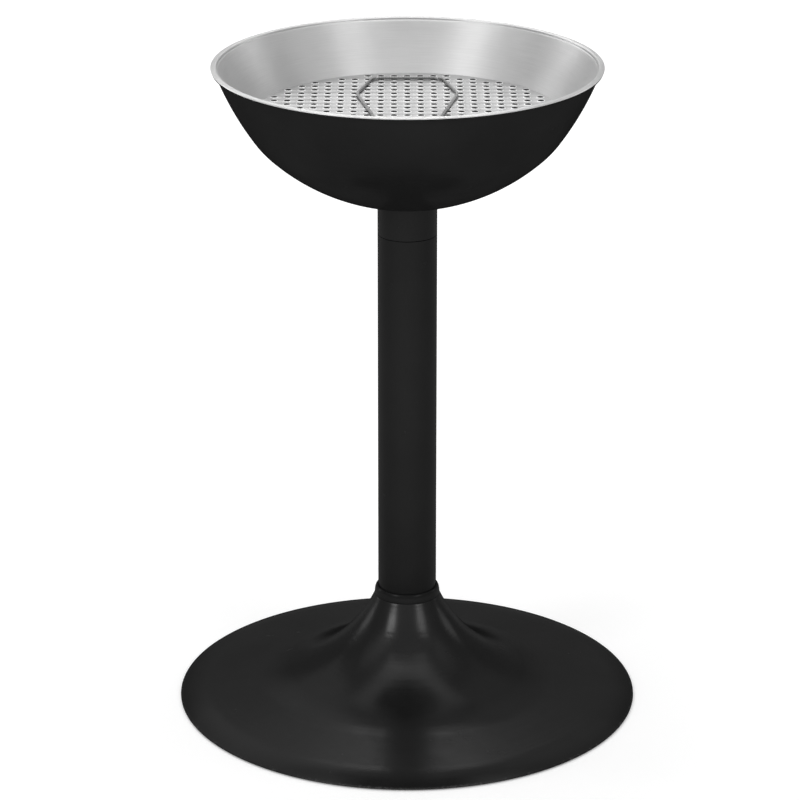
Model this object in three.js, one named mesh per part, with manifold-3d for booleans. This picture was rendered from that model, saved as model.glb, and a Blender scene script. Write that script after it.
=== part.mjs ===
// Pedestal ash stand: a black spun-steel base and bowl joined by a slim column, with a
// lift-out aluminium sand liner and a perforated sifter plate that has a folding wire bail.
// Millimetres, +Z up. Origin on the floor under the column's axis; the bail folds back to +Y.
import * as THREE from 'three';
import { mergeVertices } from 'three/addons/utils/BufferGeometryUtils.js';
import Module from 'manifold-3d';

// ---- driving dimensions ----
const GAP = 0.3;               // clearance kept where two pieces touch
const WIDE = 48;               // sides of the large round pieces
const SLIM = 24;               // sides of the column and its fittings
const SMALL = 12;              // sides of the screws
const TINY = 8;                // sides of the wire and of holes that something goes through
const COARSE = 6;              // sides of the open perforations

const BASE_RADIUS = 186.3;
const BASE_EDGE_Z = 2.2;
const BASE_WALL = 1.5;
const NECK_RADIUS = 26.4;
const NECK_Z = 88;
const NECK_HEADING = -66;      // the trumpet leaves the neck this steeply, in degrees
const FLANK_HEADING = -8;      // and runs out to the shoulder on this gentle slope
const EDGE_HEADING = -24;
const SHOULDER_RADIUS = 90;

const COLUMN_RADIUS = 23.5;
const COLUMN_WALL = 1.5;
const COLLAR_HEIGHT = 7;
const COLLAR_LIP = 0.5;        // flat top edge of the collar
const SEAM_Z = 394.7;          // the column meets the bowl's socket here

const RIM_Z = 531.3;           // crown of the liner's lip
const RIM_RADIUS = 152.4;
const BOWL_DEPTH = 111.2;
const BOWL_WALL = 1.2;
const BOWL_ARCS = [[162, 43], [80, 54.7], [237, 69.1]];   // radius, heading at its end
const BOWL_FLANGE = { bend: 0.6, radius: 151.6 };         // turned outwards at the bowl's edge
const ARC_STEP = 5;            // degrees between the bowl's facets
const SOCKET_WEB = 3;          // closed top of the socket, under the bowl
const SOCKET_STEPS = [12, 18]; // radii where the socket's top follows the bowl's crown

const LINER_WALL = 0.9;
const LINER_CORNER = [50, 54];   // radius, heading at its end
const LINER_SIDE = [700, 58.5];
const LIP = { bend: 1.6, flat: 3.4, droop: -6 };   // lies on the bowl's flange

const PLATE_RADIUS = 120.8;
const PLATE_TOP = 492;
const PLATE_THICK = 1.2;
const HOLE_RADIUS = 2.5;
const HOLE_PITCH = 10.5;
const HOLE_FIELD = Math.sqrt(125);   // reach of the perforations, in pitches
const CLIP_COLUMN = 3;               // column of holes that takes each clip of the bail
const CLIP_ROW = -2;                 // and the web between two rows that it is hooked to

const WIRE_RADIUS = 1.2;
const PIVOT_Y = CLIP_ROW * HOLE_PITCH;
const PIN_END = [34.2, PIVOT_Y];   // places on the bail, across and back from the centre
const BAIL_FOOT = [24.6, PIVOT_Y];
const BAIL_KNEE = [40, 52.4];
const BAIL_BAR = [27.5, 99.5];     // end of the straight grip bar
const FOOT_BEND = 2.8;
const WIRE_BEND = 7;
const CLIP = { x: CLIP_COLUMN * HOLE_PITCH, width: 2.6, thick: 0.8, reach: 4.2, hook: 1.6 };

const ROD_RADIUS = 5;
const ROD_HOLE = 5.6;
const ROD_PROUD = 5;           // rod left above the top nut
const ROD_TAIL = 0.4;          // and below the bottom nut
const NUT_FLATS = 17;
const NUT_HEIGHT = 8.3;
const WASHER = { radius: 14, thick: 2 };
const LOCK_WASHER = { radius: 9, thick: 2.4, slit: 1.5, slant: 20 };
const SPIGOT_HEIGHT = 24;
const COUPLER = { wall: 3, reach: 20 };

const RING = { inner: 166, outer: 180, thick: 2.2 };
const COVER = { radius: 176, hole: 22, thick: 1 };
const WEIGHT = { radius: 125, rimTop: 9.5, dish: [60, 16], hubFoot: [26, 52], hub: 20 };
const RECESS = { radius: 20, depth: 14 };
const SCREW = { circle: 100, count: 3, shank: 2.2, head: 4.5, crown: 3.2, lip: 0.5, rise: 1.5,
  length: 6 };

// ---- materials ----
const finish = (color, roughness, metalness) =>
  new THREE.MeshStandardMaterial({ color, roughness, metalness });
const blackCoat = finish(0x17181a, 0.38, 0.1);
const spunAluminium = finish(0xc9c9c7, 0.3, 1);
const platedSteel = finish(0xbfc0bf, 0.4, 1);
const bailWire = finish(0x8d8f90, 0.3, 1);
const zincSteel = finish(0xa9acae, 0.4, 1);
const castIron = finish(0x35363a, 0.8, 0.5);
const coverSteel = finish(0x55585a, 0.6, 0.8);
const mouldedPlastic = finish(0x222224, 0.6, 0);
const rubber = finish(0x111112, 0.9, 0);

// ---- profile tools: a profile runs in (radius, height), each stretch tangent to the last ----
const rad = THREE.MathUtils.degToRad;

// Direction to the right of a heading.
const side = (heading) => [Math.sin(rad(heading)), -Math.cos(rad(heading))];

// Points of an arc that starts at a point with one heading and ends with another.
function arc([r, z], radius, from, to, steps) {
  const turn = Math.sign(to - from);
  const [sr, sz] = side(from);
  return Array.from({ length: steps }, (_, i) => {
    const heading = from + ((to - from) * (i + 1)) / steps;
    const [er, ez] = side(heading);
    return { r: r + turn * radius * (er - sr), z: z + turn * radius * (ez - sz), heading };
  });
}

// The same surface moved sideways, to the right of its heading, by a wall's thickness.
const beside = (points, wall) => points.map(({ r, z, heading }) => {
  const [sr, sz] = side(heading);
  return { r: r + wall * sr, z: z + wall * sz, heading };
});

const last = (points) => points[points.length - 1];
const pair = ({ r, z }) => [r, z];

// ---- solids ----
// Turns a profile about the Z axis; a closed profile comes back to its first point.
function turned(profile, sides) {
  const onAxis = profile[0][0] === 0 && last(profile)[0] === 0;
  const loop = onAxis ? profile : [...profile, profile[0]];
  const points = loop.map(([r, z]) => new THREE.Vector2(r, z));
  const clockwise = THREE.ShapeUtils.area(points) < 0;
  const geometry = new THREE.LatheGeometry(clockwise ? points.reverse() : points, sides);
  return geometry.rotateX(Math.PI / 2);
}

const ring = (inner, outer, low, high, sides = SLIM) =>
  turned([[inner, low], [outer, low], [outer, high], [inner, high]], sides);

const wasm = await Module();
wasm.setup();

function solid(geometry) {
  const bare = geometry.clone();
  bare.deleteAttribute('normal');
  bare.deleteAttribute('uv');
  const merged = mergeVertices(bare, 1e-4);
  return new wasm.Manifold(new wasm.Mesh({
    numProp: 3,
    vertProperties: new Float32Array(merged.attributes.position.array),
    triVerts: new Uint32Array(merged.index.array),
  }));
}

function fromSolid(manifold) {
  const { vertProperties, triVerts } = manifold.getMesh();
  const geometry = new THREE.BufferGeometry();
  geometry.setAttribute('position', new THREE.BufferAttribute(vertProperties, 3));
  geometry.setIndex(new THREE.BufferAttribute(triVerts, 1));
  geometry.computeVertexNormals();
  return geometry;
}

const cut = (geometry, tools) => fromSolid(
  tools.reduce((body, tool) => body.subtract(solid(tool)), solid(geometry)));

function peg(x, y, low, high, radius, sides) {
  const geometry = new THREE.CylinderGeometry(radius, radius, high - low, sides);
  return geometry.rotateX(Math.PI / 2).translate(x, y, (low + high) / 2);
}

// ---- pedestal ----
// Trumpet surface from the neck out to the edge. The neck arc's radius is the one that
// makes the flank meet the shoulder.
function trumpet() {
  const [edgeR, edgeZ] = side(EDGE_HEADING);
  const [flankR, flankZ] = side(FLANK_HEADING);
  const [neckR, neckZ] = side(NECK_HEADING);
  const shoulder = {
    r: BASE_RADIUS + SHOULDER_RADIUS * (edgeR - flankR),
    z: BASE_EDGE_Z + SHOULDER_RADIUS * (edgeZ - flankZ),
  };
  const drop = (r, z) => r * flankR + z * flankZ;
  const radius = drop(shoulder.r - NECK_RADIUS, shoulder.z - NECK_Z)
    / drop(flankR - neckR, flankZ - neckZ);
  const neck = { r: NECK_RADIUS, z: NECK_Z, heading: NECK_HEADING };
  return [
    neck,
    ...arc(pair(neck), radius, NECK_HEADING, FLANK_HEADING, 7),
    { ...shoulder, heading: FLANK_HEADING },
    ...arc(pair(shoulder), SHOULDER_RADIUS, FLANK_HEADING, EDGE_HEADING, 3),
  ];
}

function baseShell() {
  const outside = trumpet();
  const inside = beside(outside.slice(1), BASE_WALL);
  const flange = NECK_Z - BASE_WALL;
  const hub = [[ROD_HOLE, flange], [ROD_HOLE, NECK_Z]];
  return turned([...hub, ...outside.map(pair), ...inside.reverse().map(pair),
    [NECK_RADIUS - BASE_WALL, flange]], WIDE);
}

const coverTop = RING.thick + GAP + COVER.thick;
const weightFloor = coverTop + GAP;
const recessCeiling = weightFloor + RECESS.depth;
const screwTip = RING.thick + SCREW.length;

function screwPlaces() {
  return Array.from({ length: SCREW.count }, (_, i) => {
    const angle = Math.PI / 2 + (2 * Math.PI * i) / SCREW.count;
    return [SCREW.circle * Math.cos(angle), SCREW.circle * Math.sin(angle)];
  });
}

function baseWeight() {
  const hubTop = NECK_Z - BASE_WALL - GAP;
  const casting = turned([
    [RECESS.radius, weightFloor], [WEIGHT.radius, weightFloor], [WEIGHT.radius, WEIGHT.rimTop],
    WEIGHT.dish, WEIGHT.hubFoot, [WEIGHT.hub, hubTop], [ROD_HOLE, hubTop],
    [ROD_HOLE, recessCeiling], [RECESS.radius, recessCeiling],
  ], SLIM);
  const holes = screwPlaces().map(([x, y]) =>
    peg(x, y, weightFloor - 1, screwTip + GAP, SCREW.shank + GAP, TINY));
  return cut(casting, holes);
}

function baseCover() {
  const low = RING.thick + GAP;
  const disc = ring(COVER.hole, COVER.radius, low, coverTop, WIDE);
  return cut(disc, screwPlaces().map(([x, y]) =>
    peg(x, y, low - 1, coverTop + 1, SCREW.shank + GAP, TINY)));
}

function coverScrew(x, y) {
  const seat = RING.thick;
  return turned([
    [0, seat - SCREW.rise], [SCREW.crown, seat - SCREW.rise], [SCREW.head, seat - SCREW.lip],
    [SCREW.head, seat], [SCREW.shank, seat], [SCREW.shank, screwTip], [0, screwTip],
  ], SMALL).translate(x, y, 0);
}

function footCollar() {
  const inner = COLUMN_RADIUS + GAP;
  const low = NECK_Z + GAP;
  const lip = inner + COLLAR_LIP;
  const steps = 4;
  const swell = Array.from({ length: steps + 1 }, (_, i) => {
    const t = (i / steps) * (Math.PI / 2);
    return [lip + (NECK_RADIUS - lip) * Math.cos(t), low + COLLAR_HEIGHT * Math.sin(t)];
  });
  return turned([[inner, low], ...swell, [inner, low + COLLAR_HEIGHT]], SLIM);
}

function hexNut(low) {
  const circumradius = NUT_FLATS / Math.sqrt(3);
  const blank = peg(0, 0, low, low + NUT_HEIGHT, circumradius, 6);
  return cut(blank, [peg(0, 0, low - 1, low + NUT_HEIGHT + 1, ROD_RADIUS + GAP, SLIM)]);
}

const washer = (low) => ring(ROD_HOLE, WASHER.radius, low, low + WASHER.thick);

function lockWasher(low) {
  const coil = ring(ROD_HOLE, LOCK_WASHER.radius, low, low + LOCK_WASHER.thick);
  const slit = new THREE.BoxGeometry(LOCK_WASHER.radius, LOCK_WASHER.slit, LOCK_WASHER.thick * 3);
  return cut(coil, [slit.rotateX(rad(LOCK_WASHER.slant)).translate(LOCK_WASHER.radius, 0, low)]);
}

// ---- bowl ----
// Crown, corner and side arcs of the bowl's outside, from the axis up to its edge.
function bowlOutside() {
  const bottom = { r: 0, z: RIM_Z - BOWL_DEPTH, heading: 0 };
  return BOWL_ARCS.reduce((points, [radius, to]) => {
    const from = last(points);
    const steps = Math.max(2, Math.round((to - from.heading) / ARC_STEP));
    return [...points, ...arc(pair(from), radius, from.heading, to, steps)];
  }, [bottom]);
}

const crownZ = (r, radius) => RIM_Z - BOWL_DEPTH + BOWL_ARCS[0][0]
  - Math.sqrt(radius ** 2 - r ** 2);

function outerBowl() {
  const wall = bowlOutside().slice(1);
  const edge = last(wall);
  const bend = arc(pair(edge), BOWL_FLANGE.bend, edge.heading, LIP.droop, 3);
  const fall = (BOWL_FLANGE.radius - last(bend).r) * Math.tan(rad(LIP.droop));
  const tip = { r: BOWL_FLANGE.radius, z: last(bend).z + fall, heading: LIP.droop };
  const outside = [...wall, ...bend, tip];
  const inside = beside(outside, -BOWL_WALL);
  const crown = BOWL_ARCS[0][0];
  return turned([
    [ROD_HOLE, crownZ(ROD_HOLE, crown)], ...outside.map(pair),
    ...inside.reverse().map(pair), [ROD_HOLE, crownZ(ROD_HOLE, crown - BOWL_WALL)],
  ], WIDE);
}

function bowlSocket() {
  const bore = COLUMN_RADIUS - COLUMN_WALL;
  const top = [ROD_HOLE, ...SOCKET_STEPS, COLUMN_RADIUS]
    .map((r) => [r, crownZ(r, BOWL_ARCS[0][0]) - GAP]);
  const web = top[0][1] - SOCKET_WEB;
  return turned([[bore, SEAM_Z + GAP / 2], [COLUMN_RADIUS, SEAM_Z + GAP / 2],
    ...top.reverse(), [ROD_HOLE, web], [bore, web]], SLIM);
}

// Sand liner: flat floor, rounded corner, nearly straight side, and a lip. It is drawn from
// a floor of its own and then moved so that the lip's edge and crown come where they belong.
function liner() {
  const [cornerRadius, cornerEnd] = LINER_CORNER;
  const [sideRadius, sideEnd] = LINER_SIDE;
  const floor = { r: 0, z: 0, heading: 0 };
  const corner = arc(pair(floor), cornerRadius, 0, cornerEnd, 4);
  const wall = arc(pair(last(corner)), sideRadius, cornerEnd, sideEnd, 2);
  const rise = arc(pair(last(wall)), LIP.bend, sideEnd, 0, 3);
  const crown = last(rise);
  const [turn] = arc(pair(crown), LIP.bend, 0, LIP.droop, 1);
  const tip = {
    r: turn.r + LIP.flat * Math.cos(rad(LIP.droop)),
    z: turn.z + LIP.flat * Math.sin(rad(LIP.droop)),
    heading: LIP.droop,
  };
  const inside = [floor, ...corner, ...wall, ...rise, turn, tip].map(({ r, z, heading }) =>
    ({ r: r + RIM_RADIUS - tip.r, z: z + RIM_Z - crown.z, heading }));
  const outside = beside(inside, LINER_WALL);
  return turned([[0, inside[0].z], ...inside.map(pair), ...outside.reverse().map(pair),
    [0, inside[0].z - LINER_WALL]], WIDE);
}

// ---- sifter ----
const pivotZ = PLATE_TOP + GAP + WIRE_RADIUS;

// Centres of the perforations, in pitches: a column of holes runs through the axis, and
// rows lie half a pitch either side of it.
function holePlaces() {
  const places = [];
  const reach = Math.ceil(HOLE_FIELD);
  for (let column = -reach; column <= reach; column += 1) {
    for (let row = 0.5 - reach; row < reach; row += 1) {
      if (Math.hypot(column, row) <= HOLE_FIELD) places.push([column, row]);
    }
  }
  return places;
}

// The four holes that the clips go down through are rounder.
function sifterPlate() {
  const low = PLATE_TOP - PLATE_THICK;
  const disc = turned([[0, low], [PLATE_RADIUS, low], [PLATE_RADIUS, PLATE_TOP], [0, PLATE_TOP]],
    WIDE);
  return cut(disc, holePlaces().map(([column, row]) => {
    const takesClip = Math.abs(column) === CLIP_COLUMN && Math.abs(row - CLIP_ROW) < 1;
    return peg(column * HOLE_PITCH, row * HOLE_PITCH, low - 1, PLATE_TOP + 1, HOLE_RADIUS,
      takesClip ? TINY : COARSE);
  }));
}

// A strap bent over the bail's pin. Its feet lie on the plate, and its ends go down through
// two holes and are hooked together under the web between them.
function bailClip(x) {
  const bore = WIRE_RADIUS + GAP;
  const foot = PLATE_TOP + GAP;
  const hook = PLATE_TOP - PLATE_THICK - GAP;
  const heel = CLIP.reach + CLIP.thick;
  const arch = (radius) => Array.from({ length: TINY + 1 }, (_, i) => {
    const t = Math.PI * (i / TINY);
    return [radius * Math.cos(t), pivotZ + radius * Math.sin(t)];
  });
  const leg = [[bore, foot], [CLIP.reach, foot], [CLIP.reach, hook], [CLIP.hook, hook],
    [CLIP.hook, hook - CLIP.thick], [heel, hook - CLIP.thick], [heel, foot + CLIP.thick],
    [bore + CLIP.thick, foot + CLIP.thick]];
  const otherLeg = leg.map(([y, z]) => [-y, z]).reverse();
  const outline = [...leg, ...arch(bore + CLIP.thick), ...otherLeg, ...arch(bore).reverse()];
  const strap = new THREE.ExtrudeGeometry(
    new THREE.Shape(outline.map(([y, z]) => new THREE.Vector2(y, z))),
    { depth: CLIP.width, bevelEnabled: false });
  return strap.rotateX(Math.PI / 2).rotateZ(Math.PI / 2)
    .translate(x - CLIP.width / 2, PIVOT_Y, 0);
}

// One flat bent wire: a pin and a foot at each end, and two legs that run out to a knee and
// in again to the grip bar.
function bailWirePath() {
  const half = [[PIN_END, 0], [BAIL_FOOT, FOOT_BEND], [BAIL_KNEE, WIRE_BEND],
    [BAIL_BAR, WIRE_BEND]];
  const other = half.map(([[x, y], trim]) => [[-x, y], trim]).reverse();
  const corners = [...half, ...other].map(([[x, y], trim]) =>
    ({ at: new THREE.Vector3(x, y, pivotZ), trim }));
  const path = new THREE.CurvePath();
  let from = corners[0].at;
  for (let i = 1; i < corners.length - 1; i += 1) {
    const { at, trim } = corners[i];
    const into = at.clone().add(corners[i - 1].at.clone().sub(at).setLength(trim));
    const out = at.clone().add(corners[i + 1].at.clone().sub(at).setLength(trim));
    path.add(new THREE.LineCurve3(from, into));
    path.add(new THREE.QuadraticBezierCurve3(into, at, out));
    from = out;
  }
  path.add(new THREE.LineCurve3(from, last(corners).at));
  return path;
}

function bail() {
  const section = new THREE.Shape();
  section.absarc(0, 0, WIRE_RADIUS, 0, 2 * Math.PI);
  return new THREE.ExtrudeGeometry(section, {
    extrudePath: bailWirePath(), steps: 2 * WIDE, curveSegments: TINY / 2, bevelEnabled: false });
}

// ---- assembly ----
const object = new THREE.Group();
function place(name, geometry, material, group = object) {
  const mesh = new THREE.Mesh(geometry, material);
  mesh.name = name;
  group.add(mesh);
}

const pedestal = new THREE.Group();
place('floor_ring', ring(RING.inner, RING.outer, 0, RING.thick, WIDE), rubber, pedestal);
place('base_cover', baseCover(), coverSteel, pedestal);
screwPlaces().forEach(([x, y], i) =>
  place(`cover_screw_${i + 1}`, coverScrew(x, y), zincSteel, pedestal));
place('base_weight', baseWeight(), castIron, pedestal);
place('base_shell', baseShell(), blackCoat, pedestal);
place('foot_collar', footCollar(), blackCoat, pedestal);
const columnBore = COLUMN_RADIUS - COLUMN_WALL;
place('lower_spigot', ring(ROD_HOLE, columnBore - GAP, NECK_Z + GAP, NECK_Z + SPIGOT_HEIGHT),
  mouldedPlastic, pedestal);
place('column_tube', ring(columnBore, COLUMN_RADIUS, NECK_Z + GAP, SEAM_Z - GAP / 2),
  blackCoat, pedestal);
place('upper_coupler', ring(columnBore - GAP - COUPLER.wall, columnBore - GAP,
  SEAM_Z - COUPLER.reach, SEAM_Z + COUPLER.reach), zincSteel, pedestal);
place('bowl_socket', bowlSocket(), blackCoat, pedestal);
place('outer_bowl', outerBowl(), blackCoat, pedestal);
object.add(pedestal);

const rodStack = new THREE.Group();
const crownInside = crownZ(WASHER.radius, BOWL_ARCS[0][0] - BOWL_WALL) + GAP;
const topLock = crownInside + WASHER.thick + GAP;
const topNut = topLock + LOCK_WASHER.thick + GAP;
const bottomWasher = recessCeiling - GAP - WASHER.thick;
const bottomLock = bottomWasher - GAP - LOCK_WASHER.thick;
const bottomNut = bottomLock - GAP - NUT_HEIGHT;
const rodTop = topNut + NUT_HEIGHT + ROD_PROUD;
const rodBottom = bottomNut - ROD_TAIL;
place('tie_rod', peg(0, 0, rodBottom, rodTop, ROD_RADIUS, SLIM), zincSteel, rodStack);
place('rod_top_washer', washer(crownInside), zincSteel, rodStack);
place('rod_top_lock_washer', lockWasher(topLock), zincSteel, rodStack);
place('rod_top_nut', hexNut(topNut), zincSteel, rodStack);
place('rod_bottom_washer', washer(bottomWasher), zincSteel, rodStack);
place('rod_bottom_lock_washer', lockWasher(bottomLock), zincSteel, rodStack);
place('rod_bottom_nut', hexNut(bottomNut), zincSteel, rodStack);
object.add(rodStack);

const liftOut = new THREE.Group();
place('sand_liner', liner(), spunAluminium, liftOut);
place('sifter_plate', sifterPlate(), platedSteel, liftOut);
place('bail_clip_left', bailClip(-CLIP.x), platedSteel, liftOut);
place('bail_clip_right', bailClip(CLIP.x), platedSteel, liftOut);
place('sifter_bail', bail(), bailWire, liftOut);
object.add(liftOut);

export default object;
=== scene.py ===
"""Pedestal ash stand: the finished looks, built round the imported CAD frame.

Lengths are in millimetres until a mesh is made. A profile is a list of (radius, height)
points, which is turned about the Z axis. Along a profile a heading of 0 degrees runs
outwards and 90 runs up. The front of the stand is -Y.
"""
import math

import bmesh
import bpy
from mathutils import Matrix, Vector
from mathutils.geometry import delaunay_2d_cdt


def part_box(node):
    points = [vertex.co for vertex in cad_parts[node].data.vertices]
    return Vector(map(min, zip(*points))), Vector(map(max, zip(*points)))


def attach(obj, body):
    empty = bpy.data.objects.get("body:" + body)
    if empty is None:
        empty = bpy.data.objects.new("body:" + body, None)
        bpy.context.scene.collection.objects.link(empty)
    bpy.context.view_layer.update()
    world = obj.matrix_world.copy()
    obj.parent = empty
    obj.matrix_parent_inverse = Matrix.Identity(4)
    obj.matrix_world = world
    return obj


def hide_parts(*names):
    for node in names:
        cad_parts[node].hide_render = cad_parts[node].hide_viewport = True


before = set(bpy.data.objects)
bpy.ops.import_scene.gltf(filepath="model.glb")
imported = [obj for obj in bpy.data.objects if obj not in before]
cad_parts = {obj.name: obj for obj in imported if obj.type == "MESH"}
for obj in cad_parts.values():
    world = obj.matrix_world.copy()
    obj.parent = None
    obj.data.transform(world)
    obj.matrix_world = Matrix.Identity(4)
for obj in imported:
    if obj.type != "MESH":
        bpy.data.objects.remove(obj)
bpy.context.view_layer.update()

MM = 0.001
GAP = 0.3


def extent(node):
    """Outer radius, lowest and highest height of a round CAD node."""
    low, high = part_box(node)
    return high.x / MM, low.z / MM, high.z / MM


# ---- sizes: places come from the frame, and wall and shape values repeat the CAD's ----
BASE_RADIUS, _, NECK_Z = extent("base_shell")
BASE_WALL = 1.5
BASE_EDGE_Z = 2.2
NECK_RADIUS, COLLAR_LOW, COLLAR_HIGH = extent("foot_collar")
NECK_HEADING = -66
FLANK_HEADING = -8
EDGE_HEADING = -24
SHOULDER_RADIUS = 90

COLUMN_RADIUS, COLUMN_LOW, COLUMN_HIGH = extent("column_tube")
COLUMN_WALL = 1.5
_, SOCKET_LOW, _ = extent("bowl_socket")
SOCKET_WEB = 3
ROD_HOLE = 5.6
ROD_RADIUS = 5

BOWL_WALL = 1.2
BOWL_ARCS = ((162, 43), (80, 54.7), (237, 69.1))     # radius, heading at its end
FLANGE_BEND = 0.6                                    # the bowl's edge is turned outwards
CROWN = BOWL_ARCS[0][0]
CROWN_SAG = CROWN - math.sqrt(CROWN ** 2 - ROD_HOLE ** 2)
FLANGE_RADIUS, BOWL_LOW, _ = extent("outer_bowl")
BOWL_BOTTOM = BOWL_LOW - CROWN_SAG

RIM_RADIUS, _, RIM_Z = extent("sand_liner")
LINER_WALL = 0.9
LINER_CORNER = (50, 54)
LINER_SIDE = (700, 58.5)
LIP_BEND = 1.6
LIP_FLAT = 3.4
LIP_DROOP = -6
CREASE = (1.9, 0.4)                                  # width and depth, where wall meets lip

PLATE_RADIUS, PLATE_LOW, PLATE_TOP = extent("sifter_plate")
HOLE_RADIUS = 2.5
HOLE_PITCH = 10.5
HOLE_FIELD = math.sqrt(125)                          # reach of the perforations, in pitches
HOLE_SIDES = 20
CLIP_X = 3 * HOLE_PITCH                              # the web that each clip is hooked to
PIVOT_Y = -2 * HOLE_PITCH
BURR_WIDTH = 0.75                                    # raised edge that the punch leaves
BURR_HEIGHT = 0.26

WIRE_RADIUS = 1.2
PIVOT_Z = PLATE_TOP + GAP + WIRE_RADIUS
PIN_END = (34.2, PIVOT_Y)
BAIL_FOOT = (24.6, PIVOT_Y)
BAIL_KNEE = (40, 52.4)
BAIL_BAR = (27.5, 99.5)
FOOT_BEND = 2.8
WIRE_BEND = 7
CLIP_THICK = 0.8
CLIP_REACH = 4.2
CLIP_HOOK = 1.6

THREAD_PITCH = 1.5
THREAD_DEPTH = 0.85
THREAD_LENGTH = 25
NUT_SINK = 0.8                                       # chamfer of the nuts' bores
SPRING_RISE = 0.35                                   # of a lock washer's end over its start
SPRING_SLIT = 10                                     # degrees
WASHER_TRIM = 0.35

WEIGHT_RECESS = (20, 14)                             # radius and depth
WEIGHT_EDGE_Z = 9.5
WEIGHT_FLANK = (60, 16)                              # radius and height
WEIGHT_HUB = (26, 52)
WEIGHT_TOP_RADIUS = 20
COVER_SCREWS = ("cover_screw_1", "cover_screw_2", "cover_screw_3")
SCREW_BORE = 2.5
SCREW_SHANK = 2.1
SCREW_HEAD = 1.5                                     # height of the pan head
SCREW_CROSS = (1.9, 0.42, 1.1)                       # half length, half width, depth
RING_BORE = 166
RING_GROOVES = 3
GROOVE = (0.4, 0.7)                                  # slant of its walls, and depth

FINE = 256                                           # sides of the large round pieces
SLIM = 96                                            # sides of the column and its fittings
SMOOTH_BELOW = math.radians(38)                      # sharper edges than this stay sharp
TRIM = 0.3                                           # length of a plain edge's rounding


# ---- profiles ----
def side(heading):
    """Direction to the right of a heading."""
    return math.sin(math.radians(heading)), -math.cos(math.radians(heading))


def arc(start, radius, begin, end, step=1.0):
    """Points (r, z, heading) of an arc from a start point, from one heading to another."""
    turn = math.copysign(1, end - begin)
    count = max(2, math.ceil(abs(end - begin) / step))
    right_r, right_z = side(begin)
    points = []
    for i in range(1, count + 1):
        heading = begin + (end - begin) * i / count
        r, z = side(heading)
        points.append((start[0] + turn * radius * (r - right_r),
                       start[1] + turn * radius * (z - right_z), heading))
    return points


def beside(points, wall):
    """The same curve moved to the right of its heading by a wall's thickness."""
    return [(r + wall * side(h)[0], z + wall * side(h)[1], h) for r, z, h in points]


def pairs(points):
    return [(point[0], point[1]) for point in points]


def edge_round(tip, wall, steps=8):
    """Half-round end of a sheet, from its left face to its right face."""
    r, z, heading = tip
    right = Vector(side(heading))
    ahead = Vector((-right.y, right.x))
    middle = Vector((r, z)) + right * wall / 2
    turns = [math.pi * i / steps for i in range(1, steps)]
    return [tuple(middle + (ahead * math.sin(t) - right * math.cos(t)) * wall / 2)
            for t in turns]


def rounded_off(before, at, after, trim, steps):
    """Points of a curve that cuts the corner at a point, from trim before it to trim after."""
    start = at + (before - at).normalized() * trim
    end = at + (after - at).normalized() * trim
    shares = [k / steps for k in range(steps + 1)]
    return [start * (1 - t) ** 2 + at * 2 * t * (1 - t) + end * t ** 2 for t in shares]


def softened(corners, steps=4):
    """A closed outline. A corner given as (r, z, trim) is rounded off over that length."""
    outline = []
    for i, corner in enumerate(corners):
        if len(corner) == 2:
            outline.append(corner)
            continue
        before, at, after = (Vector(corners[k % len(corners)][:2]) for k in (i - 1, i, i + 1))
        outline += map(tuple, rounded_off(before, at, after, corner[2], steps))
    return outline


def rectangle(inner, outer, low, high, trim, steps=4):
    """A closed outline with four corners, all rounded off alike."""
    return softened([(inner, low, trim), (outer, low, trim), (outer, high, trim),
                     (inner, high, trim)], steps)


def bent(corners):
    """An open line through corners, each rounded off over its own trim length."""
    path = [corners[0][0]]
    for (before, _), (at, trim), (after, _) in zip(corners, corners[1:], corners[2:]):
        path += rounded_off(before, at, after, trim, 8)
    return path + [corners[-1][0]]


def quarter(steps):
    """Angles from 0 to a right angle."""
    return [math.pi / 2 * i / steps for i in range(steps + 1)]


def directions(path):
    """Unit vector along a path at each of its points."""
    last = len(path) - 1
    return [(path[min(i + 1, last)] - path[max(i - 1, 0)]).normalized()
            for i in range(last + 1)]


def crown_z(r, radius=CROWN):
    """Height of the bowl's crown, or of a surface parallel to it, at a radius."""
    return BOWL_BOTTOM + CROWN - math.sqrt(radius ** 2 - r ** 2)


# ---- meshes ----
def linked(name, data):
    """A new object in the scene."""
    made = bpy.data.objects.new(name, data)
    bpy.context.scene.collection.objects.link(made)
    return made


def finished(name, mesh):
    """A shaded object from a bmesh in millimetres."""
    bmesh.ops.remove_doubles(mesh, verts=mesh.verts, dist=1e-4)
    bmesh.ops.recalc_face_normals(mesh, faces=mesh.faces)
    bmesh.ops.scale(mesh, vec=(MM, MM, MM), verts=mesh.verts)
    data = bpy.data.meshes.new(name)
    mesh.to_mesh(data)
    mesh.free()
    data.shade_smooth()
    data.set_sharp_from_angle(angle=SMOOTH_BELOW)
    return linked(name, data)


def skinned(name, loops, closed=False):
    """A solid through cross-sections, which are loops with equal numbers of points. The
    last section joins the first one if it is closed, and otherwise both ends are capped."""
    mesh = bmesh.new()
    rows = [[mesh.verts.new(point) for point in loop] for loop in loops]
    following = rows[1:] + rows[:1] if closed else rows[1:]
    for row, ahead in zip(rows, following):
        for i in range(len(row)):
            mesh.faces.new((row[i - 1], row[i], ahead[i], ahead[i - 1]))
    if not closed:
        mesh.faces.new(rows[0])
        mesh.faces.new(rows[-1])
    return finished(name, mesh)


def turned(name, profile_at, sides=FINE):
    """A solid turned about Z, from a function that gives the profile at each angle."""
    loops = []
    for i in range(sides):
        angle = 2 * math.pi * i / sides
        across, along = math.cos(angle), math.sin(angle)
        loops.append([(r * across, r * along, z) for r, z in profile_at(angle)])
    return skinned(name, loops, closed=True)


def spun(name, profile, sides=FINE):
    """A round solid with the same profile all the way round."""
    return turned(name, lambda angle: profile, sides)


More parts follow.
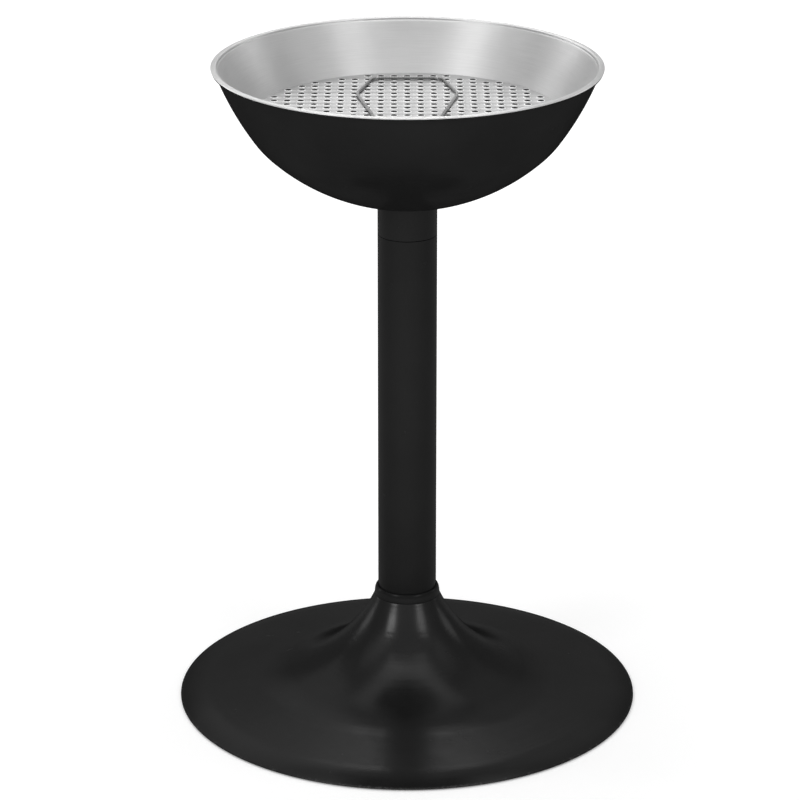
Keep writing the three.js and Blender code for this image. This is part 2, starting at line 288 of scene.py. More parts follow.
def swept(name, path, radius, sides=20):
    """A round wire along a path, with domed ends."""
    loops = []
    normal = (path[1] - path[0]).orthogonal().normalized()
    turns = [2 * math.pi * k / sides for k in range(sides)]
    dome = [(0.25, 0.5), (0.6, 0.85)]                # share of its length, share of the radius
    dome_length = radius * 0.6
    for point, ahead in zip(path, directions(path)):
        normal = (normal - ahead * normal.dot(ahead)).normalized()
        across = ahead.cross(normal)
        rings = [(0, 1)]
        if point is path[0]:
            rings = [(share - 1, size) for share, size in dome] + rings
        if point is path[-1]:
            rings = rings + [(1 - share, size) for share, size in reversed(dome)]
        for shift, size in rings:
            middle = point + ahead * shift * dome_length
            loops.append([middle + (normal * math.cos(t) + across * math.sin(t)) * radius * size
                          for t in turns])
    return skinned(name, loops)


def carved(piece, tools):
    """The piece with the tools' solids cut out of it. The tools are used up."""
    for tool in tools:
        modifier = piece.modifiers.new("carve", "BOOLEAN")
        modifier.object = tool
        modifier.operation = "DIFFERENCE"
        modifier.solver = "EXACT"
    solid = piece.evaluated_get(bpy.context.evaluated_depsgraph_get())
    data = bpy.data.meshes.new_from_object(solid)
    data.set_sharp_from_angle(angle=SMOOTH_BELOW)
    piece.modifiers.clear()
    piece.data = data
    for tool in tools:
        bpy.data.objects.remove(tool)
    return piece


# ---- pedestal ----
def trumpet():
    """Base outside, from the neck to the edge. The neck's radius is the one that makes the
    flank meet the shoulder."""
    edge_r, edge_z = side(EDGE_HEADING)
    flank_r, flank_z = side(FLANK_HEADING)
    neck_r, neck_z = side(NECK_HEADING)
    tip_r = BASE_RADIUS + edge_z * BASE_WALL / 2
    shoulder = (tip_r + SHOULDER_RADIUS * (edge_r - flank_r),
                BASE_EDGE_Z + SHOULDER_RADIUS * (edge_z - flank_z))
    reach = (shoulder[0] - NECK_RADIUS) * flank_r + (shoulder[1] - NECK_Z) * flank_z
    radius = reach / ((flank_r - neck_r) * flank_r + (flank_z - neck_z) * flank_z)
    neck = arc((NECK_RADIUS, NECK_Z), radius, NECK_HEADING, FLANK_HEADING)
    flank = [(*shoulder, FLANK_HEADING)]
    return neck + flank + arc(shoulder, SHOULDER_RADIUS, FLANK_HEADING, EDGE_HEADING, 0.8)


def base_shell():
    outside = trumpet()
    inside = beside(outside, BASE_WALL)
    flange = NECK_Z - BASE_WALL
    return spun("base_shell_spun", softened([
        (ROD_HOLE, flange), (ROD_HOLE, NECK_Z), (NECK_RADIUS, NECK_Z, 0.7), *pairs(outside),
        *edge_round(outside[-1], BASE_WALL), *reversed(pairs(inside)),
        (NECK_RADIUS - BASE_WALL, flange)]))


def foot_collar():
    inner = COLUMN_RADIUS + GAP
    lip = inner + 0.5
    swell = [(lip + (NECK_RADIUS - lip) * math.cos(t),
              COLLAR_LOW + (COLLAR_HIGH - COLLAR_LOW) * math.sin(t)) for t in quarter(16)]
    return spun("foot_collar_formed", [(inner, COLLAR_LOW), *swell, (inner, COLLAR_HIGH)], SLIM)


def column_tube():
    bore = COLUMN_RADIUS - COLUMN_WALL
    return spun("column_tube_drawn",
                rectangle(bore, COLUMN_RADIUS, COLUMN_LOW, COLUMN_HIGH, TRIM), SLIM)


def bowl_socket():
    bore = COLUMN_RADIUS - COLUMN_WALL
    steps = [ROD_HOLE + (COLUMN_RADIUS - ROD_HOLE) * i / 12 for i in range(13)]
    top = [(r, crown_z(r) - GAP) for r in reversed(steps)]
    web = top[-1][1] - SOCKET_WEB
    return spun("bowl_socket_turned", softened([
        (bore, SOCKET_LOW, TRIM), (COLUMN_RADIUS, SOCKET_LOW, TRIM), *top,
        (ROD_HOLE, web), (bore, web, 0.8)]), SLIM)


def outer_bowl():
    outside = [(0, BOWL_BOTTOM, 0)]
    for radius, heading in BOWL_ARCS:
        outside += arc(outside[-1], radius, outside[-1][2], heading)
    outside = [point for point in outside if point[0] > ROD_HOLE]
    outside += arc(outside[-1], FLANGE_BEND, outside[-1][2], LIP_DROOP, 12)
    tip_r = FLANGE_RADIUS - BOWL_WALL / 2
    fall = (tip_r - outside[-1][0]) * math.tan(math.radians(LIP_DROOP))
    outside.append((tip_r, outside[-1][1] + fall, LIP_DROOP))
    inside = beside(outside, -BOWL_WALL)
    edge = edge_round(inside[-1], BOWL_WALL)
    return spun("outer_bowl_spun", [
        (ROD_HOLE, crown_z(ROD_HOLE)), *pairs(outside), *reversed(edge),
        *reversed(pairs(inside)), (ROD_HOLE, crown_z(ROD_HOLE, CROWN - BOWL_WALL))])


def sand_liner():
    """Flat floor, rounded corner, nearly straight side, crease and lip. It is drawn from a
    floor of its own and then moved until the lip is where it belongs."""
    corner_radius, corner_end = LINER_CORNER
    side_radius, side_end = LINER_SIDE
    corner = arc((0, 0), corner_radius, 0, corner_end, 1.5)
    wall = arc(corner[-1], side_radius, corner_end, side_end, 0.25)
    rise = arc(wall[-1], LIP_BEND, side_end, 0, 6)
    fall = arc(rise[-1], LIP_BEND, 0, LIP_DROOP, 3)
    ahead_r, ahead_z = -side(LIP_DROOP)[1], side(LIP_DROOP)[0]
    flat = LIP_FLAT - LINER_WALL / 2
    tip = (fall[-1][0] + flat * ahead_r, fall[-1][1] + flat * ahead_z, LIP_DROOP)

    width, depth = CREASE
    deep_r, deep_z = side(side_end)
    top_r, top_z, _ = wall[-1]
    crease = []
    for share in (i / 8 for i in range(9)):
        back = width * (1 - share)
        deep = depth * math.sin(math.pi * share) ** 2
        crease.append((top_r + back * deep_z + deep * deep_r,
                       top_z - back * deep_r + deep * deep_z, side_end))
    plain = [point for point in wall if math.dist(point[:2], wall[-1][:2]) > width]
    face = [(0, 0, 0)] + corner + plain + crease + rise + fall + [tip]
    back_face = beside([(0, 0, 0)] + corner + wall + rise + fall + [tip], LINER_WALL)

    out = RIM_RADIUS - LINER_WALL / 2 - tip[0]
    up = RIM_Z - rise[-1][1]
    profile = [(-out, 0), *pairs(face), *edge_round(tip, LINER_WALL),
               *reversed(pairs(back_face)), (-out, -LINER_WALL)]
    return spun("sand_liner_spun", [(r + out, z + up) for r, z in profile])


# ---- sifter ----
def hole_places():
    """Centres of the perforations: a column of holes runs through the axis, and rows lie
    half a pitch either side of it."""
    reach = math.ceil(HOLE_FIELD)
    rows = [row - 0.5 for row in range(1 - reach, reach + 1)]
    return [(column * HOLE_PITCH, row * HOLE_PITCH)
            for column in range(-reach, reach + 1) for row in rows
            if math.hypot(column, row) <= HOLE_FIELD]


def circle(x, y, radius, sides):
    turns = [2 * math.pi * i / sides for i in range(sides)]
    return [(x + radius * math.cos(t), y + radius * math.sin(t)) for t in turns]


def sifter_plate():
    """Flat disc with round perforations, each with the small raised burr of its punch. The
    holes that take the clips are flattened."""
    floor = PLATE_LOW - PLATE_TOP
    # down each wall: how far outside the stated radius, and height over the plate's top
    burr = [(BURR_WIDTH, 0), (BURR_WIDTH * 0.5, BURR_HEIGHT * 0.65),
            (BURR_WIDTH * 0.2, BURR_HEIGHT), (0.02, BURR_HEIGHT * 0.75),
            (0, floor + 0.15), (0.12, floor)]
    plain = [(0.12, 0), (0, -0.12), (0, floor + 0.15), (0.12, floor)]
    rim = [(-0.3, 0), (-0.09, -0.09), (0, -0.3), (0, floor + 0.3), (-0.3, floor)]
    mesh = bmesh.new()

    def wall(x, y, radius, sides, steps):
        """Rings of vertices down a wall, with faces between them."""
        rings = [[mesh.verts.new((px, py, PLATE_TOP + height))
                  for px, py in circle(x, y, radius + wider, sides)]
                 for wider, height in steps]
        for upper, lower in zip(rings, rings[1:]):
            for i in range(sides):
                mesh.faces.new((upper[i - 1], upper[i], lower[i], lower[i - 1]))
        return rings[0], rings[-1]

    walls = [wall(0, 0, PLATE_RADIUS, FINE, rim)]
    for x, y in hole_places():
        takes_clip = abs(abs(x) - CLIP_X) < 1 and abs(y - PIVOT_Y) < HOLE_PITCH
        walls.append(wall(x, y, HOLE_RADIUS, HOLE_SIDES, plain if takes_clip else burr))
    for which in (0, 1):
        face_between(mesh, [ends[which] for ends in walls])
    return finished("sifter_plate_punched", mesh)


def face_between(mesh, rings):
    """Fills the flat surface inside the first ring and outside all the others."""
    points, loops = [], []
    for ring in rings:
        loops.append(list(range(len(points), len(points) + len(ring))))
        points += ring
    flat = [vertex.co.to_2d() for vertex in points]
    _, _, faces, came_from, _, _ = delaunay_2d_cdt(flat, [], loops, 2, 1e-6)
    for face in faces:
        mesh.faces.new([points[came_from[corner][0]] for corner in face])


def sifter_bail():
    """One flat bent wire: a pin and a foot at each end, and two legs that run out to a knee
    and in again to the grip bar."""
    corners = [(PIN_END, 0), (BAIL_FOOT, FOOT_BEND), (BAIL_KNEE, WIRE_BEND),
               (BAIL_BAR, WIRE_BEND), ((0, BAIL_BAR[1]), 0)]
    half = bent([(Vector((*place, PIVOT_Z)), trim) for place, trim in corners])
    other = [Vector((-p.x, p.y, p.z)) for p in reversed(half[:-1])]
    return swept("sifter_bail_bent", half + other, WIRE_RADIUS)


def bail_clip(node):
    """A strap bent over the bail's pin, with its ends hooked together under the plate."""
    low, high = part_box(node)
    middle = (low.x + high.x) / 2 / MM
    width = (high.x - low.x) / MM
    arch = WIRE_RADIUS + GAP + CLIP_THICK / 2
    leg = CLIP_REACH + CLIP_THICK / 2
    foot_z = PLATE_TOP + GAP + CLIP_THICK / 2
    hook_z = PLATE_LOW - GAP - CLIP_THICK / 2
    half = bent([(Vector(place), trim) for place, trim in (
        ((CLIP_HOOK, hook_z), 0), ((leg, hook_z), 0.6), ((leg, foot_z), 0.6),
        ((arch, foot_z), 0.6), ((arch, PIVOT_Z), 0))])
    half += [Vector((arch * math.cos(t), PIVOT_Z + arch * math.sin(t)))
             for t in quarter(10)[1:]]
    path = half + [Vector((-p.x, p.y)) for p in reversed(half[:-1])]
    thick, wide = CLIP_THICK / 2, width / 2
    section = rectangle(-wide, wide, -thick, thick, TRIM / 2)
    loops = []
    for point, ahead in zip(path, directions(path)):
        out = Vector((ahead.y, -ahead.x))
        loops.append([(middle + across, PIVOT_Y + point.x + out.x * deep,
                       point.y + out.y * deep) for across, deep in section])
    return skinned(f"{node}_strap", loops)


# ---- fittings ----
def flat_washer(name, node):
    """Stamped washer with softened edges."""
    return spun(name, rectangle(ROD_HOLE, *extent(node), WASHER_TRIM), SLIM)


def floor_ring():
    """Rubber ring with grooves in its tread."""
    outer, low, high = extent("floor_ring")
    land = (outer - RING_BORE) / (2 * RING_GROOVES + 1)
    slant, depth = GROOVE
    tread = []
    for i in range(RING_GROOVES):
        start = RING_BORE + land * (2 * i + 1)
        tread += [(start, low), (start + slant, low + depth),
                  (start + land - slant, low + depth), (start + land, low)]
    return spun("floor_ring_moulded", softened([
        (RING_BORE, low, TRIM), *tread, (outer, low, TRIM), (outer, high, TRIM),
        (RING_BORE, high, TRIM)]))


def hex_nut(name, node):
    """Hexagon nut with chamfered corners and a countersunk bore."""
    low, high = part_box(node)
    low_z, high_z = low.z / MM, high.z / MM
    flat = min(high.x, high.y) / MM
    corner_on_x = high.x > high.y
    bore = ROD_RADIUS + 0.05
    face = flat * 0.97

    def profile(angle):
        turn = math.degrees(angle) + (30 if corner_on_x else 0)
        reach = flat / math.cos(math.radians((turn + 30) % 60 - 30))
        cut = (reach - face) * math.tan(math.radians(30))
        return [(bore, low_z + NUT_SINK), (bore + NUT_SINK, low_z), (face, low_z),
                (reach, low_z + cut), (reach, high_z - cut), (face, high_z),
                (bore + NUT_SINK, high_z), (bore, high_z - NUT_SINK)]

    return turned(name, profile, 72)


def lock_washer(name, node):
    """Split spring washer: one slightly rising turn of square wire."""
    outer, low, high = extent(node)
    section = rectangle(ROD_HOLE, outer, 0, high - low - SPRING_RISE, 0.2, 2)
    slit = math.radians(SPRING_SLIT)
    steps = 72
    loops = []
    for i in range(steps + 1):
        share = i / steps
        angle = slit / 2 + (2 * math.pi - slit) * share
        loops.append([(r * math.cos(angle), r * math.sin(angle), low + z + SPRING_RISE * share)
                      for r, z in section])
    return skinned(name, loops)


def threaded(z, angle, low, high):
    """Radius of the rod at a height and angle: a helical thread near both ends."""
    from_end = min(z - low, high - z)
    if from_end > THREAD_LENGTH:
        return ROD_RADIUS - THREAD_DEPTH / 2
    fade = min(1, (THREAD_LENGTH - from_end) / THREAD_PITCH)
    phase = (z / THREAD_PITCH - angle / (2 * math.pi)) % 1
    tooth = min(1, max(0, 1.25 - 2.5 * abs(phase - 0.5)))
    depth = THREAD_DEPTH * (1 - tooth) * fade
    chamfer = max(0, 1.2 - from_end)
    return min(ROD_RADIUS - depth, ROD_RADIUS - chamfer * 0.7)


def tie_rod():
    _, low, high = extent("tie_rod")
    step = THREAD_PITCH / 10
    count = math.ceil(THREAD_LENGTH / step)
    lower = [low + step * i for i in range(count + 1)]
    upper = [high - step * i for i in range(count, -1, -1)]

    def profile(angle):
        return [(0, low), *((threaded(z, angle, low, high), z) for z in lower + upper),
                (0, high)]

    return turned("tie_rod_threaded", profile, 40)


def cover_screw(node):
    """Pan-head screw with a cross recess, head down."""
    low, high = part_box(node)
    x, y = (low.x + high.x) / 2 / MM, (low.y + high.y) / 2 / MM
    head = (high.x - low.x) / 2 / MM
    bottom, seat, top = low.z / MM, low.z / MM + SCREW_HEAD, high.z / MM
    edge = seat - 0.3                                # the dome ends in a short upright edge
    dome = [(head * 0.35 + head * 0.65 * math.sin(t), edge - (edge - bottom) * math.cos(t))
            for t in quarter(8)]
    point = 0.8
    piece = spun(f"{node}_pan_head", [
        (0, bottom), *dome, (head, seat), (SCREW_SHANK, seat), (SCREW_SHANK, top - point),
        (SCREW_SHANK - point, top), (0, top)], 48)
    half_length, half_width, depth = SCREW_CROSS
    slots = []
    for along, across in ((half_length, half_width), (half_width, half_length)):
        loops = [[(sx * along * size, sy * across * size, z)
                  for sx, sy in ((-1, -1), (1, -1), (1, 1), (-1, 1))]
                 for size, z in ((1.1, bottom - 1), (0.7, bottom + depth))]
        slots.append(skinned("slot", loops))
    carved(piece, slots)
    piece.data.transform(shift(x, y))
    return piece


def shift(x, y):
    return Matrix.Translation((x * MM, y * MM, 0))


def base_weight():
    """Cast iron ballast with a hub, a recess for the nut and three bores for the screws."""
    outer, low, high = extent("base_weight")
    recess, depth = WEIGHT_RECESS
    casting = spun("base_weight_cast", softened([
        (recess, low, 0.8), (outer, low, 1.5), (outer, WEIGHT_EDGE_Z, 2), (*WEIGHT_FLANK, 8),
        (*WEIGHT_HUB, 8), (WEIGHT_TOP_RADIUS, high, 1.5), (ROD_HOLE, high),
        (ROD_HOLE, low + depth), (recess, low + depth, 1)], 6), SLIM)
    bores = []
    for screw in COVER_SCREWS:
        node_low, node_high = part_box(screw)
        end = node_high.z / MM + GAP
        bore = spun("bore", [(0, low - 1), (SCREW_BORE, low - 1), (SCREW_BORE, end), (0, end)],
                    24)
        middle = (node_low + node_high) / 2
        bore.data.transform(shift(middle.x / MM, middle.y / MM))
        bores.append(bore)
    return carved(casting, bores)


# ---- materials ----
class Material:
    """A Principled material and short calls for the nodes that feed it. Coordinates are
    those of the object at rest, in millimetres."""

    def __init__(self, name):
        self.data = bpy.data.materials.new(name)
        self.data.use_nodes = True
        self.tree = self.data.node_tree
        self.shader = self.tree.nodes["Principled BSDF"]
        metres = self.node("TexCoord", output="Object")
        self.place = self.node("VectorMath", {0: metres, "Scale": 1 / MM}, operation="SCALE")

    def feed(self, socket, value):
        if isinstance(value, bpy.types.NodeSocket):
            self.tree.links.new(value, socket)
        else:
            socket.default_value = value

    def node(self, kind, inputs=None, output=0, **settings):
        """The output of a new node, with its inputs set to values or other outputs."""
        made = self.tree.nodes.new("ShaderNode" + kind)
        for key, value in settings.items():
            setattr(made, key, value)
        for key, value in (inputs or {}).items():
            self.feed(made.inputs[key], value)
        return made.outputs[output]

    def math(self, operation, first, second=0.0):
        return self.node("Math", {0: first, 1: second}, operation=operation)

    def remap(self, value, old, new):
        return self.node("MapRange", {"Value": value, "From Min": old[0], "From Max": old[1],
                                      "To Min": new[0], "To Max": new[1]})

    def noise(self, scale, detail=2.0, vector=None, roughness=0.5):
        return self.node("TexNoise", {"Vector": vector or self.place, "Scale": scale,
                                      "Detail": detail, "Roughness": roughness})

    def spread(self, noise, low=0, high=1):
        """A noise stretched over a range: nearly all of its values lie from 0.3 to 0.7."""
        return self.remap(noise, (0.3, 0.7), (low, high))

    def parts(self, vector):
        """The three numbers of a vector."""
        return self.node("SeparateXYZ", {0: vector}).node.outputs[:]

    def from_axis(self):
        """The vector from the axis of the stand, and its length."""
        x, y, _ = self.parts(self.place)
        flat = self.node("CombineXYZ", {0: x, 1: y})
        return flat, self.node("VectorMath", {0: flat}, output="Value", operation="LENGTH")

    def upward(self):
        """How far the surface faces up, as the cosine of its slope."""
        return self.parts(self.node("NewGeometry", output="True Normal"))[2]

    def blend(self, factor, first, second):
        """A colour between two, given as grey levels, colours or outputs."""
        def colour(value):
            return (value, value, value, 1) if isinstance(value, float) else value
        return self.node("Mix", {0: factor, 6: colour(first), 7: colour(second)}, output=2,
                         data_type="RGBA")

    def bump(self, height, depth, beneath=None):
        """A normal from a height of 0 to 1 that stands for a depth in millimetres."""
        inputs = {"Height": height, "Distance": depth * MM, "Strength": 1.0}
        if beneath is not None:
            inputs["Normal"] = beneath
        return self.node("Bump", inputs)

    def around(self, turns, fine, fall=1):
        """Coordinates for marks left by spinning: long round the axis and fine across.
        fall is 1 where the profile rises outwards, and -1 where it falls."""
        flat, radius = self.from_axis()
        climb = self.math("MULTIPLY", self.parts(self.place)[2], fall)
        across = self.math("MULTIPLY", self.math("ADD", radius, climb), fine)
        turning = self.node("VectorMath", {0: flat}, operation="NORMALIZE")
        slow = self.node("VectorMath", {0: turning, "Scale": turns}, operation="SCALE")
        along_x, along_y, _ = self.parts(slow)
        return self.node("CombineXYZ", {0: along_x, 1: along_y, 2: across})

    def brushed_round(self, amount):
        """Highlights that spread across marks that run round the axis."""
        tangent = self.node("Tangent", direction_type="RADIAL", axis="Z")
        self.set({"Anisotropic": amount, "Anisotropic Rotation": 0.25, "Tangent": tangent})

    def set(self, inputs):
        for key, value in inputs.items():
            self.feed(self.shader.inputs[key], value)
        return self

    def bare(self, colour, rough, normal):
        """The finished material of a bare or plated metal."""
        return self.set({"Base Color": colour, "Metallic": 1.0, "Roughness": rough,
                         "Normal": normal}).data


def black_coat(name, gloss, fade, spun_marks=None, greying=0.0):
    """Satin black powder coat: fine orange peel over the faint rings of the spun sheet,
    handling marks, scuffs on the base's outer edge, and a lighter grey on surfaces that
    face up, which is settled dust and painted top light. The peel shades itself at a
    slant, so the gloss fades with the given power of the facing ratio."""
    coat = Material(name)
    cloudy = coat.noise(0.02, 4)
    colour = coat.blend(coat.spread(cloudy), 0.0085, 0.011)
    flecks = coat.noise(1.6, 3, roughness=0.7)
    colour = coat.blend(coat.remap(flecks, (0.68, 0.8), (0, 0.2)), colour, 0.04)
    # Lighter where the surface faces up: settled dust, and painted top light standing in for
    # the light that falls on it.
    dust_and_top_light = coat.remap(coat.upward(), (0.93, 0.985), (0, greying))
    colour = coat.blend(dust_and_top_light, colour, 0.06)
    _, radius = coat.from_axis()
    at_edge = coat.remap(radius, (BASE_RADIUS - 2.2, BASE_RADIUS), (0, 1))
    scuffed = coat.remap(coat.noise(0.25, 5, roughness=0.65), (0.52, 0.66), (0, 0.5))
    scuff = coat.math("MULTIPLY", at_edge, scuffed)
    colour = coat.blend(scuff, colour, 0.09)
    handled = coat.remap(coat.noise(0.045, 5, roughness=0.6), (0.35, 0.7), (0.2, 0.28))
    peel = coat.noise(0.9, 1)
    normal = coat.bump(peel, 0.012)
    if spun_marks:
        rings = coat.noise(1.0, 3, vector=coat.around(0.7, 0.16, spun_marks))
        normal = coat.bump(rings, 0.12, normal)
    facing = coat.node("LayerWeight", {"Blend": 0.5}, output="Facing")
    slant = coat.math("POWER", coat.math("SUBTRACT", 1.0, facing), fade)
    return coat.set({"Base Color": colour, "Roughness": coat.math("ADD", handled, scuff),
                     "Specular IOR Level": coat.math("MULTIPLY", slant, gloss),
                     "Normal": normal}).data


def spun_aluminium():
    """Bright aluminium with the fine rings of spinning and brushing."""
    metal = Material("spun_aluminium")
    lines = metal.noise(1.0, 4, vector=metal.around(5, 2.2), roughness=0.6)
    bands = metal.noise(1.0, 2, vector=metal.around(1.5, 0.18))
    cloudy = metal.noise(0.02, 3)
    tone = metal.math("ADD", metal.math("MULTIPLY", lines, 0.6),
                      metal.math("MULTIPLY", cloudy, 0.4))
    metal.brushed_round(0.7)
    return metal.bare(metal.blend(metal.spread(tone), 0.58, 0.72),
                      metal.spread(lines, 0.36, 0.5),
                      metal.bump(bands, 0.08, metal.bump(lines, 0.012)))


def plated_steel():
    """Matte plated sheet with a faint grain and a few handling marks. The burrs of the holes
    are lightened as a painted highlight, and the walls of the holes are darkened with
    painted shade."""
    metal = Material("plated_steel")
    grain = metal.noise(3.0, 3, roughness=0.7)
    patches = metal.noise(0.06, 4, roughness=0.6)
    up = metal.upward()
    colour = metal.blend(metal.spread(patches), 0.46, 0.58)
    # Painted highlight: the sloping burrs round the holes are made brighter.
    colour = metal.blend(metal.remap(up, (0.99, 0.9), (0, 1)), colour, 0.95)
    # Painted shade: the upright walls of the holes, and the plate's edge, are made dark.
    colour = metal.blend(metal.remap(up, (0.5, 0.2), (0, 1)), colour, 0.12)
    rough = metal.remap(metal.math("ADD", grain, patches), (0.7, 1.3), (0.42, 0.58))
    return metal.bare(colour, rough, metal.bump(grain, 0.02))


def spring_clip_metal():
    """Plated strip with a fine grain."""
    metal = Material("plated_strip")
    grain = metal.noise(3.0, 3, roughness=0.7)
    return metal.bare(metal.blend(grain, 0.45, 0.65), metal.spread(grain, 0.35, 0.5),
                      metal.bump(grain, 0.02))


def drawn_wire():
    """Semi-bright drawn wire, with marks along its length."""
    metal = Material("drawn_wire")
    along = metal.node("VectorMath", {0: metal.place, 1: (1, 0.25, 1)}, operation="MULTIPLY")
    marks = metal.noise(3.0, 3, vector=along)
    return metal.bare(metal.blend(metal.spread(marks), 0.22, 0.36),
                      metal.spread(marks, 0.22, 0.36), metal.bump(marks, 0.01))


def zinc_steel():
    """Zinc plate with a cool, slightly cloudy surface."""
    metal = Material("zinc_steel")
    cloud = metal.noise(0.5, 4, roughness=0.6)
    colour = metal.blend(metal.spread(cloud), (0.46, 0.48, 0.5, 1), (0.62, 0.63, 0.63, 1))
    return metal.bare(colour, metal.spread(cloud, 0.28, 0.5),
                      metal.bump(metal.noise(4.0, 2), 0.01))


def cast_iron():
    """Rough sand-cast iron under a thin dark primer."""
    iron = Material("cast_iron")
    sand = iron.noise(1.4, 5, roughness=0.7)
    pits = iron.noise(0.35, 3)
    colour = iron.blend(iron.remap(pits, (0.35, 0.65), (0, 1)), (0.035, 0.035, 0.04, 1),
                        (0.075, 0.07, 0.068, 1))
    normal = iron.bump(pits, 0.25, iron.bump(sand, 0.2))
    return iron.set({"Base Color": colour, "Metallic": 0.4, "Normal": normal,
                     "Roughness": iron.spread(sand, 0.65, 0.9)}).data


def cover_paint():
    """Thin dark grey paint on sheet steel, with a few scratches from the floor."""
    paint = Material("cover_paint")
    stretched = paint.node("VectorMath", {0: paint.place, 1: (0.15, 1.5, 1)},
                           operation="MULTIPLY")
    scratches = paint.remap(paint.noise(1.0, 4, vector=stretched), (0.66, 0.72), (0, 1))
    cloud = paint.noise(0.03, 4)
    colour = paint.blend(paint.spread(cloud), 0.075, 0.11)
    colour = paint.blend(scratches, colour, 0.3)
    return paint.set({"Base Color": colour, "Roughness": paint.spread(cloud, 0.45, 0.6),
                      "Metallic": paint.math("MULTIPLY", scratches, 0.8),
                      "Normal": paint.bump(paint.noise(1.2, 1), 0.02)}).data


def moulded_nylon():
    """Black nylon with the fine texture of its mould."""
    nylon = Material("moulded_nylon")
    grain = nylon.noise(2.5, 2)
    colour = nylon.blend(nylon.noise(0.1, 3), 0.014, 0.024)
    return nylon.set({"Base Color": colour, "Roughness": nylon.spread(grain, 0.5, 0.65),
                      "Normal": nylon.bump(grain, 0.03)}).data


def floor_rubber():
    """Matte black rubber, greyed where it has stood on the floor."""
    rubber = Material("floor_rubber")
    grain = rubber.noise(1.8, 4, roughness=0.7)
    greying = rubber.remap(rubber.noise(0.08, 5), (0.45, 0.7), (0, 0.6))
    colour = rubber.blend(greying, 0.011, 0.05)
    return rubber.set({"Base Color": colour, "Roughness": rubber.spread(grain, 0.75, 0.95),
                       "Normal": rubber.bump(grain, 0.06)}).data


# ---- assembly ----
def give(piece, material):
    """Makes a material the piece's only one."""
    piece.data.materials.clear()
    piece.data.materials.append(material)


def fit(piece, node, body, material):
    """Puts a finished piece in a CAD node's place."""
    give(piece, material)
    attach(piece, body)
    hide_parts(node)


def dress(node, material):
    """Gives a CAD node that stays visible a finished material."""
    give(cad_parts[node], material)


tube_coat = black_coat("black_coat_tube", gloss=0.14, fade=3)
# Only the base's coat is lightened where it faces up, with dust and painted top light.
falling_coat = black_coat("black_coat_spun_base", gloss=0.42, fade=4, spun_marks=-1, greying=0.14)
rising_coat = black_coat("black_coat_spun_bowl", gloss=0.24, fade=5, spun_marks=1)
zinc = zinc_steel()

fit(base_shell(), "base_shell", "pedestal", falling_coat)
fit(foot_collar(), "foot_collar", "pedestal", tube_coat)
fit(column_tube(), "column_tube", "pedestal", tube_coat)
fit(bowl_socket(), "bowl_socket", "pedestal", tube_coat)
fit(outer_bowl(), "outer_bowl", "pedestal", rising_coat)
fit(floor_ring(), "floor_ring", "pedestal", floor_rubber())
fit(base_weight(), "base_weight", "pedestal", cast_iron())
for screw in COVER_SCREWS:
    fit(cover_screw(screw), screw, "pedestal", zinc)
fit(tie_rod(), "tie_rod", "pedestal", zinc)
for end in ("top", "bottom"):
    fit(flat_washer(f"rod_{end}_washer_stamped", f"rod_{end}_washer"),
        f"rod_{end}_washer", "pedestal", zinc)
    fit(lock_washer(f"rod_{end}_lock_washer_split", f"rod_{end}_lock_washer"),
        f"rod_{end}_lock_washer", "pedestal", zinc)
    fit(hex_nut(f"rod_{end}_nut_chamfered", f"rod_{end}_nut"),
        f"rod_{end}_nut", "pedestal", zinc)
dress("base_cover", cover_paint())
dress("lower_spigot", moulded_nylon())
dress("upper_coupler", zinc)

fit(sand_liner(), "sand_liner", "liner", spun_aluminium())
fit(sifter_plate(), "sifter_plate", "sifter", plated_steel())
clip_metal = spring_clip_metal()
for clip in ("bail_clip_left", "bail_clip_right"):
    fit(bail_clip(clip), clip, "sifter", clip_metal)
fit(sifter_bail(), "sifter_bail", "bail", drawn_wire())


# ---- studio, in metres ----
FLOOR_RADIUS = 40
WORLD_LIGHT = 0.42
LIGHT_AIM = Vector((0, 0, 0.3))
SOFTBOXES = {          # azimuth, elevation, distance, size and radiance
    "front_left": (-46, 28, 2.4, (0.75, 0.7), 5.5),
    "front_right": (42, 27, 2.4, (0.8, 0.7), 3.4),
    "side_left": (-119, 6, 2.4, (0.7, 0.5), 5.2),
    "side_right": (113, 11, 2.4, (0.8, 0.5), 2.9),
    "fill_left": (-80, 42, 2.6, (1.3, 0.7), 0.7),
    "fill_right": (85, 42, 2.6, (1.1, 0.7), 0.5),
    "wide_left": (-145, 38, 2.6, (1.6, 1.4), 1.1),
    "wide_right": (140, 38, 2.6, (1.4, 1.2), 0.4),
    "back": (180, 43, 2.6, (0.75, 0.36), 5.0),
    "back_low": (180, 30, 2.8, (1.0, 0.35), 2.0),
    "overhead": (0, 90, 2.4, (2.4, 2.4), 1.2),
}
CAMERA_PLACE = (-0.0058, -2.678, 1.2495)
CAMERA_DIP = 20.38     # degrees below level
SENSOR_WIDTH = 36      # mm, as is the focal length
FOCAL_LENGTH = 160.74


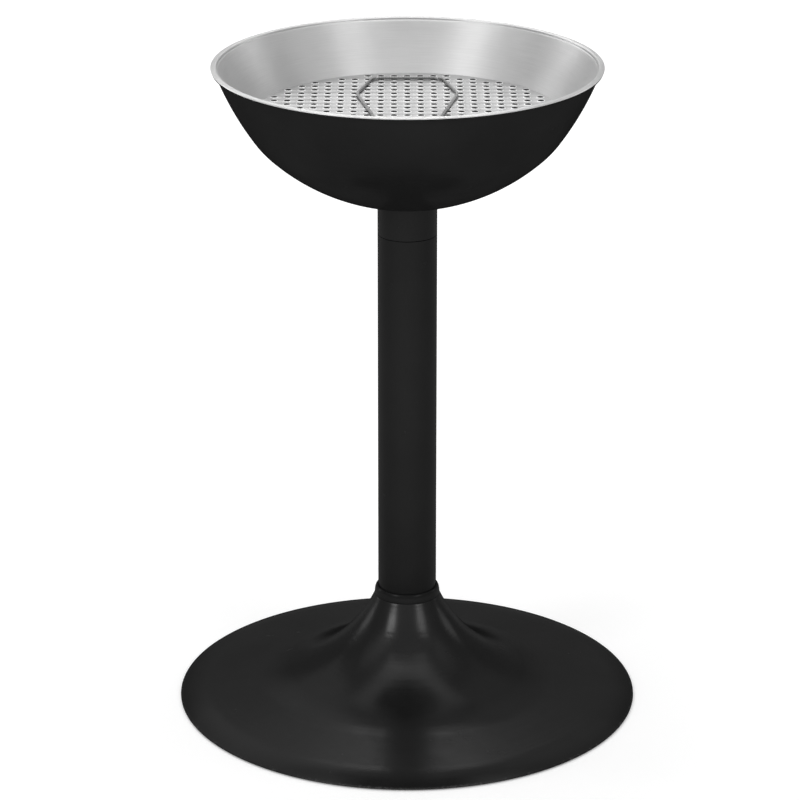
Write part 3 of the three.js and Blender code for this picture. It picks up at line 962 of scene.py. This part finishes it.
def studio_floor():
    """A pale disc that reaches past the view, and glows a little away from the stand."""
    mesh = bmesh.new()
    mesh.faces.new([mesh.verts.new((x, y, 0)) for x, y in circle(0, 0, FLOOR_RADIUS, 96)])
    data = bpy.data.meshes.new("studio_floor")
    mesh.to_mesh(data)
    mesh.free()
    paper = Material("floor_paper")
    tone = paper.noise(0.004, 3)
    away = paper.node("VectorMath", {0: paper.place}, output="Value", operation="LENGTH")
    glow = paper.remap(away, (250, 2000), (0.22, 0.45))
    paper.set({"Base Color": paper.blend(tone, 0.88, 0.9), "Roughness": 0.9,
               "Specular IOR Level": 0.1, "Emission Color": (1, 1, 1, 1),
               "Emission Strength": glow})
    data.materials.append(paper.data)
    linked("studio_floor", data)


def softbox(name, azimuth, elevation, distance, size, radiance):
    """A soft rectangular light. Azimuth 0 is in front of the stand and 90 at its right."""
    turn, rise = math.radians(azimuth), math.radians(elevation)
    away = Vector((math.sin(turn) * math.cos(rise), -math.cos(turn) * math.cos(rise),
                   math.sin(rise)))
    light = bpy.data.lights.new(name, "AREA")
    light.shape = "RECTANGLE"
    light.size, light.size_y = size
    light.energy = radiance * size[0] * size[1] * math.pi
    lamp = linked(name, light)
    lamp.location = LIGHT_AIM + away * distance
    lamp.rotation_euler = away.to_track_quat("Z", "Y").to_euler()
    lamp.visible_camera = False


def studio_light():
    world = bpy.data.worlds.new("studio")
    world.use_nodes = True
    backdrop = world.node_tree.nodes["Background"]
    backdrop.inputs["Color"].default_value = (1, 1, 1, 1)
    backdrop.inputs["Strength"].default_value = WORLD_LIGHT
    bpy.context.scene.world = world
    for name, setting in SOFTBOXES.items():
        softbox(name, *setting)


def photo_camera():
    """Long lens in front of the stand, looking down on it."""
    data = bpy.data.cameras.new("camera")
    data.sensor_width = SENSOR_WIDTH
    data.lens = FOCAL_LENGTH
    data.clip_end = 100
    camera = linked("camera", data)
    camera.location = CAMERA_PLACE
    camera.rotation_euler = (math.radians(90 - CAMERA_DIP), 0, 0)
    bpy.context.scene.camera = camera


studio_floor()
studio_light()
photo_camera()
bpy.context.scene.view_settings.view_transform = "Standard"
